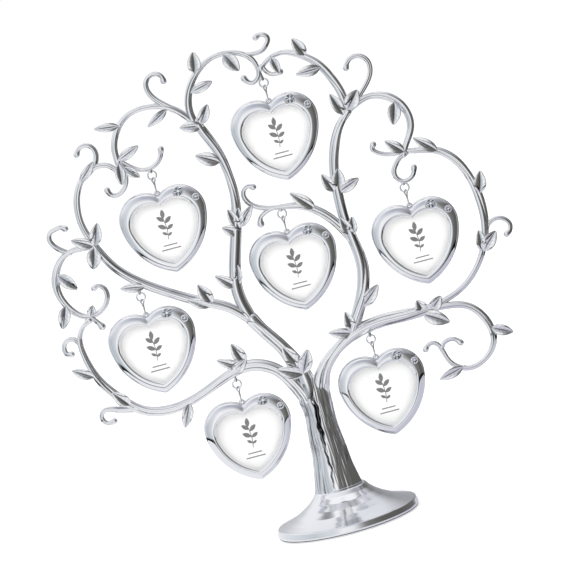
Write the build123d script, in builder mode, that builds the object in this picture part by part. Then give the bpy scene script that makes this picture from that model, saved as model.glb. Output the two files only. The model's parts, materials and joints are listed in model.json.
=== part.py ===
"""A cast family-tree photo stand: a bark-grooved trunk on a round dish foot, curling leafy branches
soldered to it, and seven heart-shaped photo frames that hang from the branches on wire links."""

import math
import os

from build123d import *

# Driving sizes, in millimetres
crown_size = 226.0
dish_width = 66.0
dish_height = 16.5
dish_rim = 4.2
dish_land_width = 23.0
dish_hollow = 1.9
dish_edge_chamfer = 1.0
felt_margin = 2.75
felt_thickness = 1.2
felt_recess = 0.8
felt_gap = 0.15
screw_shank_width = 4.0
screw_grip = 11.0
screw_head_width = 8.0
screw_head_height = 2.6
screw_socket_width = 2.9
screw_socket_depth = 1.5
screw_gap = 0.05
screw_head_gap = 0.4
trunk_depth = 15.6
facet_run = 14.0
leaf_thickness = 0.9
leaf_fold = 0.9
leaf_lift = 2.0
leaf_root = 2.2
eyelet_width = 4.65
eyelet_wire = 0.75
eyelet_neck = 1.3
link_length = 8.0
link_width = 3.1
link_wire = 0.7
link_gap = 0.06
heart_rim_width = 4.7
heart_depth = 6.2
heart_set_back = -0.11
mouth_margin = 1.3
mouth_bevel = 1.5
photo_width = 30.0
ledge_reach = 1.2
ledge_depth = 2.3
pane_thickness = 1.0
card_thickness = 0.4
back_thickness = 1.2
pocket_gap = 0.1
finger_notch_width = 6.0
lug_width = 3.0
lug_thickness = 0.8
lug_hole = 1.1
lug_rise = 0.9
lug_root = 1.5
large_crystal_width = 4.0
small_crystal_width = 2.5
large_crystal_height = 2.3
small_crystal_height = 1.6
crystal_gap = 0.05

# Counts and proportions
branch_sides = 6
wire_sides = 6
bend_spans = 6
walk_steps = 240
facet_turn_degrees = 26.0
bark_flutes = 9
bark_twist_degrees = 40.0
bark_groove_share = 0.12
tip_round_share = 0.55
tip_reach_share = 0.3
dish_facets = 5
dish_hollow_lean_share = 0.4
crystal_facets = 8
crystal_table_share = 0.55
crystal_base_share = 0.8
crystal_girdle_share = 0.6

# Sizes that follow from the ones above
thousandth = crown_size / 1000
eyelet_radius = (eyelet_width - eyelet_wire) / 2
link_top = eyelet_wire / 2 + link_gap + link_wire / 2
link_bottom = link_top - (link_length - link_wire)
link_bend = (link_width - link_wire) / 2
heart_width = photo_width + 2 * heart_rim_width
pocket_width = photo_width + 2 * ledge_reach
felt_width = dish_width - 2 * felt_margin
overrun = heart_depth

# Half a heart from its notch over the lobe to its tip, as shares of its width, about the point that all
# its insets shrink to: first the mouth and all that fits in it, then the rim, which is broader below
mouth_shares = ((0, 0.529), (0.247, 0.598), (0.5, 0.264), (0.34, -0.08), (0, -0.333))
rim_shares = ((0, 0.529), (0.247, 0.598), (0.505, 0.262), (0.368, -0.102), (0, -0.378))
notch_share = mouth_shares[0][1]
# The outside of a heart frame from its front ridge to its back: depth share, width share
frame_profile_shares = ((0, 0.85), (0.12, 0.93), (0.4, 1.0), (0.85, 0.985), (1.0, 0.955))
# Crystal places as shares of the heart's width, and how deep each seat is as a share of its depth
large_crystal_shares = (0.241, 0.521)
small_crystal_shares = (0.42, 0.412)
large_seat_depth_share = 0.3
small_seat_depth_share = 0.21

# The trunk from its foot to the crotch, in thousandths of the crown size: height, middle, width
trunk_shares = (
    (0, -3, 96),
    (40, -3, 80),
    (80, -2, 71),
    (120, -3, 64),
    (160, -2, 60),
    (200, -3, 66),
    (222, -2, 66),
    (236, 2, 36),
)
# The trunk's depth at those heights, as shares of its depth at the foot
trunk_depth_shares = (1.0, 0.85, 0.77, 0.7, 0.68, 0.68, 0.6, 0.36)
# A leaf's two cross sections: how far along it they lie, and their width
blade_shares = ((0.34, 0.92), (0.62, 0.8))
# The seven hooks from the top down, in thousandths of the crown size: each eyelet's middle, across and up
hook_shares = ((58, 823), (-203, 702), (-287, 473), (27, 562), (276, 550), (-147, 254), (135, 273))
# Where each eyelet's neck meets its branch, across and up from the eyelet's middle
neck_shares = ((-3, 33), (0, 15), (0, 33), (0, 14), (0, 13), (0, 24), (0, 27))


def crown_point(across, up):
    """The place in the tree's plane that is so many thousandths of the crown size from the trunk's foot."""
    return Vector(across * thousandth, 0, dish_height + up * thousandth)


def stations(waypoint_shares):
    """Walks a smooth line through the waypoints and stops each time it has turned or run far enough."""
    points = [crown_point(across, up) for across, up, _ in waypoint_shares]
    widths = [width * thousandth for _, _, width in waypoint_shares]
    line = Edge.make_spline(points)
    marks = [0]
    for here, after in zip(points, points[1:]):
        marks.append(marks[-1] + (after - here).length)
    stops = [(line @ 0, line % 0, widths[0])]
    for step in range(1, walk_steps):
        place, heading = line @ (step / walk_steps), line % (step / walk_steps)
        turn = stops[-1][1].get_angle(heading)
        if turn > facet_turn_degrees or (place - stops[-1][0]).length > facet_run:
            way = marks[-1] * step / walk_steps
            span = max(index for index, mark in enumerate(marks[:-1]) if mark <= way)
            share = (way - marks[span]) / (marks[span + 1] - marks[span])
            stops.append((place, heading, widths[span] + share * (widths[span + 1] - widths[span])))
    tip = line @ 1 + (line % 1) * (tip_reach_share * widths[-1])
    return [*stops, (line @ 1, line % 1, widths[-1]), (tip, line % 1, tip_round_share * widths[-1])]


def wire_loft(stops, sides, side_direction=(0, 1, 0)):
    """Lofts straight facets from stop to stop, where each stop has a place, a heading and a width."""
    sections = []
    for place, heading, width in stops:
        with BuildSketch(Plane(origin=place, x_dir=side_direction, z_dir=heading)) as section:
            RegularPolygon(radius=width / 2, side_count=sides, rotation=90)
        sections.append(section.sketch)
    loft(sections, ruled=True)


def bend_stops(middle, radius, wire, first_degrees, across):
    """Stops round half a ring that stands upright, turning from the across direction towards up."""
    stops = []
    for step in range(bend_spans + 1):
        angle = math.radians(first_degrees + 180 * step / bend_spans)
        outwards = across * math.cos(angle) + Vector(0, 0, math.sin(angle))
        heading = Vector(0, 0, math.cos(angle)) - across * math.sin(angle)
        stops.append((middle + outwards * radius, heading, wire))
    return stops


def branch(waypoint_shares):
    """Casts a tapering branch with a blunt tip through waypoints that give across, up and width."""
    wire_loft(stations(waypoint_shares), branch_sides)


def leaf(base_across, base_up, tip_across, tip_up, width, side=-1):
    """Lofts a pointed leaf, folded along its rib, that leans out from the branch to one side."""
    base, tip = crown_point(base_across, base_up), crown_point(tip_across, tip_up)
    tip += Vector(0, side * leaf_lift, 0)
    heading = (tip - base).normalized()
    outward = (Vector(0, side, 0) - heading * (side * heading.Y)).normalized()
    across = outward.cross(heading)
    root = base - heading * leaf_root
    half_width = width * thousandth / 2
    blades = []
    for way, spread in blade_shares:
        with BuildSketch(Plane(base + (tip - base) * way, across, heading)) as blade:
            Polygon(
                (-half_width * spread, leaf_fold * spread),
                (0, -leaf_thickness / 2),
                (half_width * spread, leaf_fold * spread),
                (0, leaf_thickness / 2),
                align=None,
            )
        blades.append(blade.sketch)
    loft([Vertex(*root), *blades, Vertex(*tip)], ruled=True)


def eyelet(number):
    """Turns the small cast ring that this hook's link hangs from, with its neck up to the branch."""
    (across, up), (neck_across, neck_up) = hook_shares[number - 1], neck_shares[number - 1]
    centre = crown_point(across, up)
    for first_degrees in (0, 180):
        wire_loft(bend_stops(centre, eyelet_radius, eyelet_wire, first_degrees, Vector(1, 0, 0)), wire_sides)
    top = centre + Vector(0, 0, eyelet_radius)
    neck = crown_point(across + neck_across, up + neck_up)
    wire_loft([(top, neck - top, eyelet_neck), (neck, neck - top, eyelet_neck)], wire_sides)


def trim(fitted, *castings):
    """Cuts the part in hand to fit castings that were already there, and clears the grit of the cut."""
    for casting in castings:
        add(casting.part, mode=Mode.SUBTRACT)
    for grit in fitted.solids().filter_by(lambda solid: solid.volume < leaf_thickness**3):
        add(grit, mode=Mode.SUBTRACT)


# Base: the dish, its felt and the screw that holds the trunk
hollow = []
for step in range(dish_facets + 1):
    way = step / dish_facets
    sag = dish_hollow * math.sin(math.pi * way)
    reach = dish_width / 2 + way * (dish_land_width - dish_width) / 2
    hollow.append((reach - sag * dish_hollow_lean_share, dish_rim + way * (dish_height - dish_rim) - sag))
with BuildPart() as base_dish:
    with BuildSketch(Plane.XZ) as dish_profile:
        with BuildLine():
            Polyline(
                (0, dish_height),
                (0, felt_thickness),
                (felt_width / 2 + felt_gap, felt_thickness),
                (felt_width / 2 + felt_gap, felt_thickness - felt_recess),
                (dish_width / 2, felt_thickness - felt_recess),
                (dish_width / 2, dish_rim),
            )
            Polyline(*hollow, (0, dish_height))
        make_face()
        chamfer(dish_profile.vertices().group_by(Axis.X)[-1], length=dish_edge_chamfer)
    revolve()
    with Locations(Plane(origin=(0, 0, felt_thickness), z_dir=(0, 0, -1))):
        CounterBoreHole(
            radius=screw_shank_width / 2 + screw_gap,
            counter_bore_radius=screw_head_width / 2 + screw_head_gap,
            counter_bore_depth=screw_head_height + screw_head_gap,
        )

with BuildPart() as base_felt:
    Cylinder(felt_width / 2, felt_thickness, align=(Align.CENTER, Align.CENTER, Align.MIN))

screw_seat = felt_thickness + screw_head_height + screw_head_gap
screw_end = dish_height + screw_grip
with BuildPart() as base_screw:
    with BuildSketch(Plane.XY.offset(screw_seat)):
        Circle(screw_head_width / 2)
    extrude(amount=-screw_head_height)
    with BuildSketch(Plane.XY.offset(screw_seat)):
        Circle(screw_shank_width / 2)
    extrude(amount=screw_end - screw_seat)
    with BuildSketch(Plane.XY.offset(screw_seat - screw_head_height)):
        RegularPolygon(radius=screw_socket_width / 2, side_count=6)
    extrude(amount=screw_socket_depth, mode=Mode.SUBTRACT)

# Trunk: bark-fluted sections that twist as they rise, the left fork, and a bore for the screw
left_fork_shares = (
    (-7, 190, 36), (-15, 240, 32), (-25, 270, 28), (-39, 300, 24), (-71, 348, 24), (-85, 374, 24),
)
trunk_leaf_shares = ((-11, 246, 9, 290, 26), (-13, 246, -61, 264, 22), (-17, 256, -39, 304, 26))
with BuildPart() as trunk:
    for (up, middle, width), depth_share in zip(trunk_shares, trunk_depth_shares):
        twist = bark_twist_degrees * up / trunk_shares[-1][0]
        outline = []
        for corner in range(2 * bark_flutes):
            angle = math.radians(twist + 180 * corner / bark_flutes)
            reach = 1 - bark_groove_share * (corner % 2)
            across = middle * thousandth + reach * width * thousandth / 2 * math.cos(angle)
            outline.append((across, reach * depth_share * trunk_depth / 2 * math.sin(angle)))
        with BuildSketch(Plane.XY.offset(dish_height + up * thousandth)):
            Polygon(*outline, align=None)
    loft(ruled=True)
    branch(left_fork_shares)
    for place in trunk_leaf_shares:
        leaf(*place)
    with Locations(Plane(origin=(0, 0, dish_height), z_dir=(0, 0, -1))):
        Hole(screw_shank_width / 2 + screw_gap, depth=screw_grip + screw_gap)

# Right limb: from the crotch out to the far right, with the sixth hook
right_limb_shares = (
    (9, 202, 30), (25, 234, 24), (65, 270, 21), (107, 292, 24), (159, 303, 24), (219, 302, 23),
    (275, 302, 18),
)
right_limb_leaf_shares = (
    (103, 294, 57, 308, 20), (105, 296, 99, 340, 20), (105, 290, 149, 308, 18),
    (251, 298, 243, 326, 22), (263, 296, 291, 322, 22), (249, 296, 295, 268, 26),
)
with BuildPart() as right_limb:
    branch(right_limb_shares)
    for place in right_limb_leaf_shares:
        leaf(*place)
    eyelet(7)
    trim(right_limb, trunk)

# Upper right limb: rises from the right limb to the right-hand crown
upper_right_limb_shares = (
    (105, 298, 22), (117, 320, 22), (141, 366, 23), (155, 420, 24), (151, 468, 22), (145, 516, 19),
    (144, 564, 19), (148, 614, 18), (163, 666, 19), (188, 710, 15), (205, 726, 14),
)
upper_right_leaf_shares = (
    (136, 341, 175, 376, 22), (153, 484, 171, 526, 22), (149, 484, 137, 524, 20),
    (139, 578, 123, 618, 20), (147, 578, 157, 620, 24), (149, 576, 191, 592, 20), (195, 722, 179, 768, 20),
)
with BuildPart() as upper_right_limb:
    branch(upper_right_limb_shares)
    for place in upper_right_leaf_shares:
        leaf(*place)
    trim(upper_right_limb, right_limb)

# Lower left limb: sweeps from the trunk low to the left and curls up at the far end
lower_left_shares = (
    (-33, 220, 26), (-61, 260, 22), (-111, 284, 22), (-165, 274, 18), (-225, 251, 16), (-285, 239, 18),
    (-341, 252, 18), (-379, 286, 17), (-411, 332, 15), (-427, 384, 13), (-425, 430, 11), (-413, 446, 10),
    (-399, 454, 10),
)
lower_left_curl_shares = (
    ((-353, 258, 14), (-391, 266, 12), (-421, 268, 9), (-425, 256, 8), (-415, 244, 7), (-403, 245, 6)),
    ((-428, 410, 10), (-437, 424, 9), (-453, 426, 8), (-464, 409, 7), (-460, 399, 6), (-451, 397, 6)),
    ((-393, 458, 10), (-383, 446, 10), (-377, 435, 10)),
)
lower_left_leaf_shares = (
    (-132, 287, -173, 312, 18), (-120, 289, -137, 336, 24), (-157, 270, -117, 298, 20),
    (-248, 242, -269, 198, 20), (-363, 268, -391, 302, 22), (-418, 342, -457, 366, 18),
)
with BuildPart() as lower_left_limb:
    branch(lower_left_shares)
    for waypoints in lower_left_curl_shares:
        branch(waypoints)
    for place in lower_left_leaf_shares:
        leaf(*place)
    eyelet(6)
    trim(lower_left_limb, trunk)

# Middle limb: the leader that rises from the left fork to the crown
middle_shares = (
    (-79, 360, 18), (-91, 392, 23), (-98, 444, 22), (-88, 494, 22), (-67, 564, 20), (-56, 616, 18),
    (-56, 664, 16), (-64, 712, 17), (-82, 758, 18), (-91, 780, 16),
)
middle_leaf_shares = (
    (-97, 444, -133, 476, 20), (-93, 448, -85, 486, 16), (-65, 547, -95, 566, 20),
    (-63, 555, -75, 598, 18), (-62, 558, -55, 596, 18), (-62, 558, -27, 594, 18),
    (-66, 694, -109, 718, 24), (-84, 776, -61, 810, 20), (-83, 772, -125, 780, 20),
)
with BuildPart() as middle_limb:
    branch(middle_shares)
    for place in middle_leaf_shares:
        leaf(*place)
    trim(middle_limb, trunk)

# Left limb: climbs from the left fork to the ring's node, then arches over the upper left frame
left_shares = (
    (-82, 366, 18), (-121, 406, 19), (-169, 431, 20), (-225, 463, 18), (-285, 505, 17), (-325, 548, 16),
    (-349, 594, 15), (-363, 640, 14), (-362, 682, 14), (-345, 723, 12), (-315, 745, 10), (-281, 742, 10),
    (-265, 724, 10),
)
left_curl_shares = (
    (-337, 730, 10), (-315, 744, 10), (-300, 774, 10), (-305, 787, 9), (-316, 793, 9), (-328, 791, 8),
    (-337, 780, 8),
)
left_leaf_shares = (
    (-153, 424, -171, 468, 24), (-157, 420, -199, 444, 18), (-274, 492, -321, 500, 18),
    (-349, 596, -333, 638, 22), (-351, 596, -391, 618, 20), (-351, 592, -363, 552, 26),
    (-343, 726, -309, 758, 16),
)
with BuildPart() as left_limb:
    branch(left_shares)
    branch(left_curl_shares)
    for place in left_leaf_shares:
        leaf(*place)
    eyelet(3)
    trim(left_limb, trunk, middle_limb)

# Left ring: the round loop at the far left, tied to the left limb and the lower left limb
left_ring_shares = (
    (-350, 594, 10), (-369, 596, 12), (-407, 594, 11), (-435, 568, 14), (-445, 528, 15), (-431, 489, 13),
    (-401, 463, 11), (-369, 468, 10), (-351, 496, 10), (-354, 509, 9), (-364, 516, 8), (-373, 514, 7),
)
left_ring_curl_shares = (
    (-401, 594, 10), (-421, 608, 10), (-433, 634, 9), (-428, 643, 8), (-417, 647, 7), (-405, 648, 6),
    (-397, 643, 6),
)
left_ring_leaf_shares = ((-435, 558, -405, 522, 22), (-436, 494, -453, 452, 22), (-394, 462, -383, 482, 16))
with BuildPart() as left_ring:
    branch(left_ring_shares)
    branch(left_ring_curl_shares)
    for place in left_ring_leaf_shares:
        leaf(*place)
    trim(left_ring, left_limb, lower_left_limb)

# Top left arch: from the crown over the upper left frame, with its three curls
top_left_shares = (
    (-86, 770, 11), (-105, 794, 14), (-137, 823, 13), (-179, 835, 10), (-219, 830, 11), (-249, 804, 13),
    (-263, 766, 13), (-262, 744, 12),
)
top_left_curl_shares = (
    ((-129, 818, 12), (-149, 836, 11), (-169, 869, 10), (-167, 884, 10), (-158, 893, 9), (-146, 895, 9),
     (-135, 888, 8), (-133, 877, 8)),
    ((-261, 750, 10), (-254, 730, 8), (-258, 698, 7), (-269, 686, 6), (-283, 682, 6), (-293, 687, 6),
     (-297, 696, 6)),
    ((-259, 748, 8), (-247, 736, 7), (-217, 717, 6), (-201, 717, 6), (-177, 735, 6), (-173, 748, 6)),
)
top_left_leaf_shares = (
    (-242, 814, -289, 820, 16), (-142, 821, -185, 798, 16), (-259, 748, -215, 766, 18),
    (-261, 741, -265, 700, 18), (-253, 731, -227, 706, 16),
)
with BuildPart() as top_left_arch:
    branch(top_left_shares)
    for waypoints in top_left_curl_shares:
        branch(waypoints)
    for place in top_left_leaf_shares:
        leaf(*place)
    eyelet(2)
    trim(top_left_arch, middle_limb, left_limb)

# Top arch: the highest loop, over the top frame, ending in a small hook
top_arch_shares = (
    (-93, 774, 16), (-98, 800, 15), (-91, 840, 15), (-67, 875, 13), (-29, 897, 10), (15, 896, 10),
    (47, 874, 10), (53, 858, 9), (53, 844, 8), (46, 833, 8), (36, 829, 8), (27, 834, 7), (22, 842, 7),
)
top_arch_curl_shares = (
    (33, 888, 8), (55, 884, 8), (71, 886, 7), (83, 896, 7), (88, 908, 6), (82, 918, 6), (73, 920, 5),
    (65, 917, 5),
)
top_arch_leaf_shares = ((-69, 877, -61, 922, 24), (-85, 842, -41, 852, 18), (-5, 898, 17, 860, 26))
with BuildPart() as top_arch:
    branch(top_arch_shares)
    branch(top_arch_curl_shares)
    for place in top_arch_leaf_shares:
        leaf(*place)
    eyelet(1)
    trim(top_arch, middle_limb, top_left_arch)

# Top right arch: from the right-hand crown back to the top arch
top_right_shares = (
    (200, 722, 11), (203, 748, 16), (192, 796, 17), (171, 834, 16), (141, 859, 13), (105, 872, 9),
    (77, 865, 8), (59, 852, 8),
)
top_right_twig_shares = ((63, 854, 8), (71, 836, 8), (81, 830, 7), (95, 831, 7))
top_right_leaf_shares = ((85, 868, 93, 834, 16), (150, 856, 129, 900, 24), (173, 824, 125, 823, 20))
with BuildPart() as top_right_arch:
    branch(top_right_shares)
    branch(top_right_twig_shares)
    for place in top_right_leaf_shares:
        leaf(*place)
    trim(top_right_arch, upper_right_limb, top_arch)

# Centre arch: springs left from the upper right limb over the middle frame
centre_shares = (
    (147, 482, 18), (131, 510, 17), (101, 546, 16), (63, 569, 14), (19, 577, 9), (-19, 589, 10),
    (-35, 606, 10), (-35, 625, 8), (-25, 632, 7), (-15, 628, 6),
)
centre_stub_shares = ((19, 577, 8), (-5, 572, 9), (-16, 564, 9), (-19, 553, 10))
centre_leaf_shares = (93, 556, 53, 598, 22)
with BuildPart() as centre_arch:
    branch(centre_shares)
    branch(centre_stub_shares)
    leaf(*centre_leaf_shares)
    eyelet(4)
    trim(centre_arch, upper_right_limb)

# Upper right arch: over the right-hand frame, with its tall curl and the hook below
upper_right_arch_shares = (
    (199, 724, 12), (219, 734, 12), (255, 744, 11), (289, 734, 15), (315, 704, 15), (318, 664, 14),
    (299, 630, 12), (291, 614, 11),
)
upper_right_arch_curl_shares = (
    ((225, 740, 9), (245, 760, 9), (268, 792, 9), (268, 812, 9), (257, 825, 9), (243, 828, 8),
     (231, 823, 8), (223, 810, 7)),
    ((297, 620, 9), (271, 621, 9), (253, 625, 8), (240, 632, 8), (233, 642, 7), (237, 649, 6)),
    ((297, 616, 9), (282, 610, 9), (270, 599, 10), (263, 585, 10), (266, 571, 9), (277, 563, 8),
     (290, 564, 8), (300, 572, 7), (304, 584, 6)),
)
upper_right_arch_leaf_shares = (
    (299, 720, 286, 678, 24), (205, 730, 233, 762, 26), (293, 620, 261, 650, 20),
)
with BuildPart() as upper_right_arch:
    branch(upper_right_arch_shares)
    for waypoints in upper_right_arch_curl_shares:
        branch(waypoints)
    for place in upper_right_arch_leaf_shares:
        leaf(*place)
    eyelet(5)
    trim(upper_right_arch, upper_right_limb, top_right_arch)

# Right arch: the big bow down the right side to the end of the right limb
right_arch_shares = (
    (295, 620, 8), (315, 616, 11), (355, 606, 13), (388, 578, 15), (407, 538, 15), (415, 492, 17),
    (413, 444, 16), (399, 398, 14), (372, 356, 13), (332, 324, 12), (289, 309, 12), (263, 302, 12),
)
right_arch_curl_shares = (
    (409, 414, 8), (417, 434, 8), (429, 442, 8), (443, 443, 8), (457, 436, 8), (463, 424, 8),
    (459, 413, 7), (451, 408, 6),
)
right_arch_leaf_shares = (
    (357, 606, 317, 642, 20), (418, 502, 429, 544, 22), (395, 388, 429, 420, 24), (395, 388, 397, 430, 18),
)
with BuildPart() as right_arch:
    branch(right_arch_shares)
    branch(right_arch_curl_shares)
    for place in right_arch_leaf_shares:
        leaf(*place)
    trim(right_arch, upper_right_arch, right_limb)

# Lower right ring: the round loop at the end of the right limb
lower_right_ring_shares = (
    (262, 302, 12), (299, 300, 14), (339, 289, 14), (367, 254, 16), (373, 210, 13), (347, 176, 10),
    (307, 167, 10), (277, 188, 9), (266, 220, 8), (261, 229, 7), (252, 234, 7), (243, 232, 6),
    (236, 225, 6),
)
lower_right_twig_shares = ((267, 216, 8), (274, 228, 7), (285, 232, 7), (297, 230, 7), (307, 220, 7))
lower_right_leaf_shares = ((374, 234, 413, 216, 20), (298, 172, 249, 160, 18))
with BuildPart() as lower_right_ring:
    branch(lower_right_ring_shares)
    branch(lower_right_twig_shares)
    for place in lower_right_leaf_shares:
        leaf(*place)
    trim(lower_right_ring, right_limb, right_arch)


# Hearts are made once about the pivot, which is the middle of the eyelet's lowest wire
def heart_plane(depth):
    """The plane so far behind a heart frame's front ridge, facing forward, about the heart's middle."""
    middle_height = link_bottom - lug_rise - notch_share * heart_width
    front = heart_set_back - heart_depth / 2
    return Plane(origin=(0, front + depth, middle_height), x_dir=(1, 0, 0), z_dir=(0, -1, 0))


def heart_face(depth, width, outline_shares=mouth_shares):
    """Draws a heart of this width: on each side one arc over the lobe and one down the flank."""
    notch, crest, shoulder, flank, tip = ((width * across, width * up) for across, up in outline_shares)
    with BuildSketch(heart_plane(depth)) as face:
        with BuildLine():
            ThreePointArc(notch, crest, shoulder)
            ThreePointArc(shoulder, flank, tip)
            mirror(about=Plane.YZ)
        make_face()
    return face.sketch


large_crystal_place = tuple(share * heart_width for share in large_crystal_shares)
small_crystal_place = tuple(share * heart_width for share in small_crystal_shares)
large_seat = large_seat_depth_share * heart_depth
small_seat = small_seat_depth_share * heart_depth

# Heart frame: a domed shell with a bevelled mouth, a rebated pocket behind, two crystal seats and a lug
with BuildPart() as heart_frame:
    rings = [
        heart_face(depth_share * heart_depth, width_share * heart_width, rim_shares)
        for depth_share, width_share in frame_profile_shares
    ]
    loft(rings, ruled=True)
    # The bevel is cut from as far in front of the ridge as it ends behind, widening past its margin
    bevel = [
        heart_face(-mouth_bevel, photo_width + 4 * mouth_margin),
        heart_face(mouth_bevel, photo_width),
    ]
    loft(bevel, ruled=True, mode=Mode.SUBTRACT)
    extrude(heart_face(0, photo_width), amount=-overrun, mode=Mode.SUBTRACT)
    extrude(heart_face(ledge_depth, pocket_width), amount=-overrun, mode=Mode.SUBTRACT)
    for place, seat, width in (
        (large_crystal_place, large_seat, large_crystal_width),
        (small_crystal_place, small_seat, small_crystal_width),
    ):
        with BuildSketch(heart_plane(seat)):
            with Locations(place):
                Circle(width / 2 + crystal_gap)
        extrude(amount=overrun, mode=Mode.SUBTRACT)
    with BuildSketch(Plane.XZ.offset(-lug_thickness / 2)):
        with Locations((0, link_bottom)):
            Circle(lug_width / 2)
        with Locations((0, link_bottom - lug_rise)):
            Rectangle(lug_width, 2 * lug_root)
        with Locations((0, link_bottom)):
            Circle(lug_hole / 2, mode=Mode.SUBTRACT)
    extrude(amount=lug_thickness)

# Crystals: two flat-backed cut stones in the seats on the right lobe
with BuildPart() as heart_crystals:
    for place, seat, width, height in (
        (large_crystal_place, large_seat, large_crystal_width, large_crystal_height),
        (small_crystal_place, small_seat, small_crystal_width, small_crystal_height),
    ):
        for rise_share, width_share in (
            (0, crystal_base_share),
            (crystal_girdle_share, 1),
            (1, crystal_table_share),
        ):
            with BuildSketch(heart_plane(seat - rise_share * height)):
                with Locations(place):
                    RegularPolygon(radius=width_share * width / 2, side_count=crystal_facets)
        loft(ruled=True)

# Window, photo card and back plate lie one behind the other in the pocket
slip_width = pocket_width - 2 * pocket_gap
with BuildPart() as heart_window:
    extrude(heart_face(ledge_depth, slip_width), amount=-pane_thickness)

with BuildPart() as heart_card:
    extrude(heart_face(ledge_depth + pane_thickness, slip_width), amount=-card_thickness)

back_depth = ledge_depth + pane_thickness + card_thickness
with BuildPart() as heart_back:
    extrude(heart_face(back_depth, slip_width), amount=-back_thickness)
    with BuildSketch(heart_plane(back_depth)):
        with Locations((0, slip_width * notch_share)):
            Circle(finger_notch_width / 2)
    extrude(amount=-overrun, mode=Mode.SUBTRACT)

# Link: a long closed ring of wire, seen edge on from the front, its joint halfway up each leg
joint_height = (link_top + link_bottom) / 2
with BuildPart() as heart_link:
    for middle, first_degrees in ((link_top - link_bend, 0), (link_bottom + link_bend, 180)):
        bend = bend_stops(Vector(0, 0, middle), link_bend, link_wire, first_degrees, Vector(0, 1, 0))
        first, last = (
            (Vector(0, place.Y, joint_height), heading, wire) for place, heading, wire in (bend[0], bend[-1])
        )
        wire_loft([first, *bend, last], wire_sides, (1, 0, 0))

os.makedirs("parts", exist_ok=True)

castings = {
    "base_dish": base_dish,
    "base_felt": base_felt,
    "base_screw": base_screw,
    "trunk": trunk,
    "right_limb": right_limb,
    "upper_right_limb": upper_right_limb,
    "lower_left_limb": lower_left_limb,
    "middle_limb": middle_limb,
    "left_limb": left_limb,
    "left_ring": left_ring,
    "top_left_arch": top_left_arch,
    "top_arch": top_arch,
    "top_right_arch": top_right_arch,
    "centre_arch": centre_arch,
    "upper_right_arch": upper_right_arch,
    "right_arch": right_arch,
    "lower_right_ring": lower_right_ring,
}
for name, casting in castings.items():
    casting.part.label = name
    export_step(casting.part, f"parts/{name}.step")

heart_pieces = {
    "frame": heart_frame,
    "crystals": heart_crystals,
    "window": heart_window,
    "card": heart_card,
    "back": heart_back,
    "link": heart_link,
}
for number, hook in enumerate(hook_shares, start=1):
    pivot = crown_point(*hook) - Vector(0, 0, eyelet_radius)
    for name, piece in heart_pieces.items():
        with BuildPart() as hung:
            with Locations(pivot):
                add(piece.part)
        hung.part.label = f"heart_{number}_{name}"
        export_step(hung.part, f"parts/heart_{number}_{name}.step")
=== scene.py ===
"""A plated cast photo tree: a trunk streaked like bark on a dish foot, leafy curling limbs, and seven
heart frames that hang from small eyelets. The pieces are dressed in the order of their assembly."""

import json

import bpy
import numpy as np
from mathutils import Matrix, Vector


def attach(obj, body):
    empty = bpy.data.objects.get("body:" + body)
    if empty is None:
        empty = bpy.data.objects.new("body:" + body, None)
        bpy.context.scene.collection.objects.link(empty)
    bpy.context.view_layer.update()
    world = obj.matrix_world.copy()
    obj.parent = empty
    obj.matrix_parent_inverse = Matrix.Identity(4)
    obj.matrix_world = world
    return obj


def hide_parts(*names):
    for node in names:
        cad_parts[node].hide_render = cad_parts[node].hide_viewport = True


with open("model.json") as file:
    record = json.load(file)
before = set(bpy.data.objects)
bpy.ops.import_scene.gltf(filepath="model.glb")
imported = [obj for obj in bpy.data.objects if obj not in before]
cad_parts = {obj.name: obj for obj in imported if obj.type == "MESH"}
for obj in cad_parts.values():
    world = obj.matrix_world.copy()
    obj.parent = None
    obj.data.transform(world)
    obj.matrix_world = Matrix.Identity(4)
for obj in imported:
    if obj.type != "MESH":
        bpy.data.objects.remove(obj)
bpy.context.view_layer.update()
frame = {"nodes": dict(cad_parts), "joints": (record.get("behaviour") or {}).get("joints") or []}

# Dish foot: a spun and plated disc, flared up to a small land that carries the trunk. Its top and its
# upright rim share one soft mirror finish.
MM = 0.001
# Radius and height in mm, from the middle of the land over the rim to the screw's bore
DISH_PROFILE = (
    (0.0, 16.5), (9.0, 16.5), (11.35, 16.42), (11.9, 16.1), (13.2, 14.3), (15.6, 12.0), (19.0, 9.6),
    (23.2, 7.35), (27.4, 5.75), (30.6, 4.75), (32.0, 4.38), (32.25, 4.2), (32.4, 3.9), (32.9, 2.1),
    (32.97, 1.75), (32.9, 1.4), (32.55, 0.42), (32.2, 0.2), (31.0, 0.2), (30.5, 0.5), (30.4, 1.2),
    (4.4, 1.2), (4.4, 4.6), (2.1, 4.6), (2.1, 12.0), (0.0, 12.0),
)
DISH_SPANS = 16
DISH_TURNS = 144


def full_turn(count):
    """Even angles once round, the last one short of the first."""
    return np.linspace(0, 2 * np.pi, count, endpoint=False)


def run_of(line):
    """The length run along a line at each of its points."""
    return np.r_[0, np.cumsum(np.linalg.norm(np.diff(line, axis=0), axis=1))]


def read_off(where, run, line):
    """Each column of a line, read off straight from point to point."""
    return np.stack([np.interp(where, run, column) for column in line.T], axis=1)


def unit(rows):
    """Each row at length one."""
    return rows / np.linalg.norm(rows, axis=-1, keepdims=True)


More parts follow.
